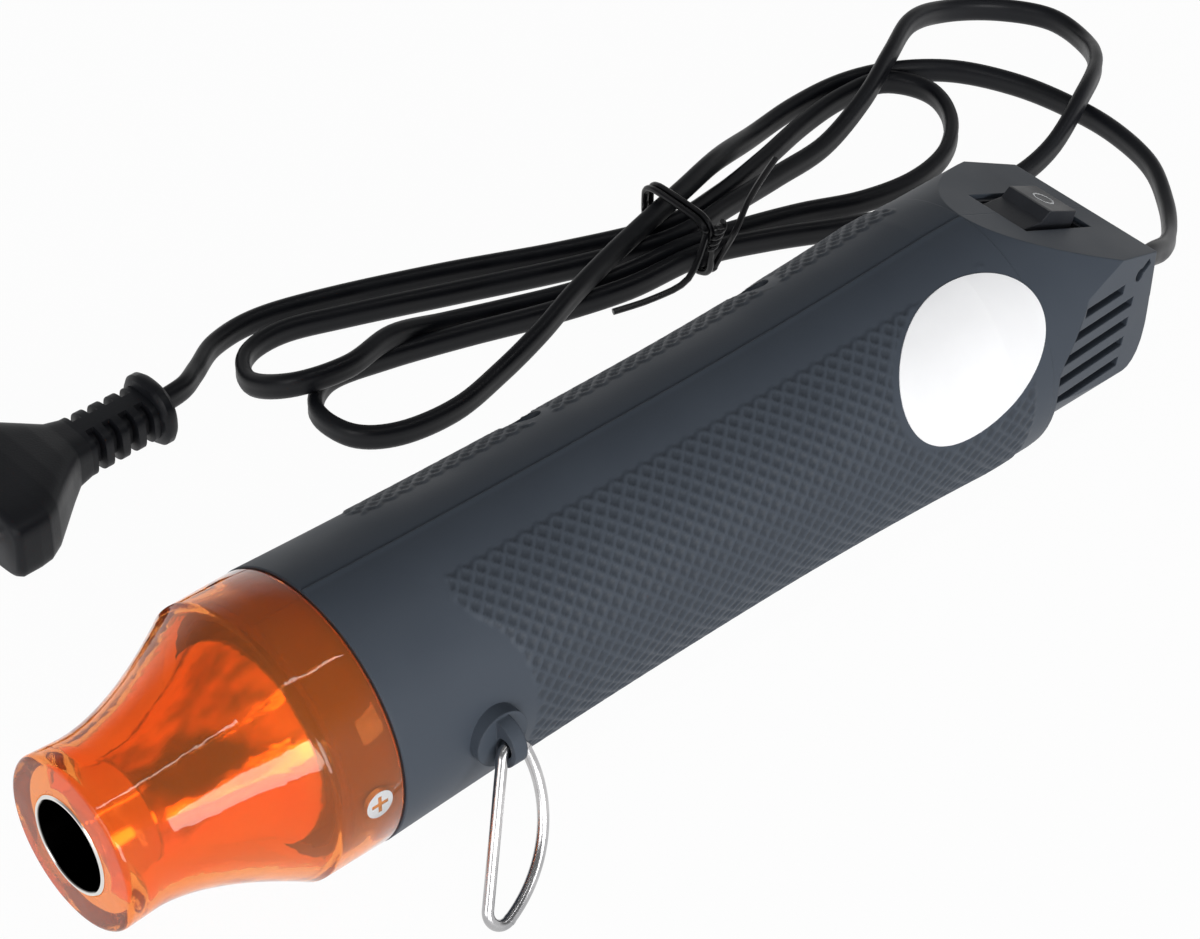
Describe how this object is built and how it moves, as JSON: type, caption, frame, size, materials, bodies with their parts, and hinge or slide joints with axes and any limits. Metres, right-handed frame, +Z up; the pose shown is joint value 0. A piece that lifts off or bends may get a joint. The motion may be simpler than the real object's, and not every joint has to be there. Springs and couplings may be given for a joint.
{
  "type": "embossing heat tool",
  "caption": "Round craft heat tool with a tinted clear nozzle shroud, waisted handle, sloped switch panel, vented tail, hanging ring and tied mains cord with plug.",
  "frame": {"origin": "centre of the tool's footprint on the surface it lies on, halfway along the tool and halfway across its ring and body", "axes": "+X along the handle from the hot-air outlet to the cord's end, +Z up through the seam and the switch panel, -Y on the ring's and label's side"},
  "size_m": [0.305, 0.1542, 0.05],
  "materials": {
    "shell_plastic": "satin",
    "dark_screw": "satin",
    "bright_screw": "gloss",
    "clear_orange": "gloss",
    "outlet_steel": "satin",
    "shield_steel": "satin",
    "mica": "satin",
    "heating_wire": "satin",
    "ceramic": "matte",
    "shaft_steel": "gloss",
    "fan_plastic": "satin",
    "motor_can": "satin",
    "inner_plastic": "matte",
    "board": "satin",
    "black_resin": "gloss",
    "amber_film": "gloss",
    "wire_red": "gloss",
    "switch_plastic": "satin",
    "brass_tabs": "satin",
    "rocker_plastic": "satin",
    "label_white": "satin",
    "ring_steel": "gloss",
    "cord_black": "satin",
    "tie_black": "satin",
    "plug_black": "satin",
    "pin_metal": "gloss"
  },
  "bodies": {
    "handle": {"left_shell": "shell_plastic", "right_shell": "shell_plastic", "housing_screws": "dark_screw", "nozzle_shroud": "clear_orange", "shroud_screws": "bright_screw", "nozzle_tube": "outlet_steel", "heat_shield": "shield_steel", "mica_sleeve": "mica", "mica_cross": "mica", "heater_coil": "heating_wire", "thermal_cutout": "ceramic", "fan_motor": "motor_can", "motor_mount": "inner_plastic", "circuit_board": "board", "rectifier_diodes": "black_resin", "capacitor": "amber_film", "lead_wires": "wire_red", "switch_housing": "switch_plastic", "switch_terminals": "brass_tabs", "rating_label": "label_white", "cord_clamp": "inner_plastic", "clamp_screws": "dark_screw", "inner_flex": "cord_black", "cord_bush": "cord_black", "power_cord": "cord_black", "twist_tie": "tie_black", "plug_body": "plug_black", "plug_pins": "pin_metal"},
    "rocker": {"rocker": "rocker_plastic"},
    "ring": {"hanging_ring": "ring_steel"},
    "fan": {"motor_shaft": "shaft_steel", "fan_impeller": "fan_plastic"}
  },
  "joints": [
    {"name": "rocker_tilt", "type": "hinge", "parent": "handle", "child": "rocker", "pos_m": [0.0977, 0.00802, 0.03896], "axis": [0, 1, 0], "range_deg": [0, 20]},
    {"name": "ring_swing", "type": "hinge", "parent": "handle", "child": "ring", "pos_m": [-0.048, -0.02038, 0.025], "axis": [-1, 0, 0], "range_deg": [-30, 153]},
    {"name": "fan_spin", "type": "hinge", "parent": "handle", "child": "fan", "pos_m": [-0.024, 0.00802, 0.025], "axis": [1, 0, 0], "continuous": true}
  ]
}
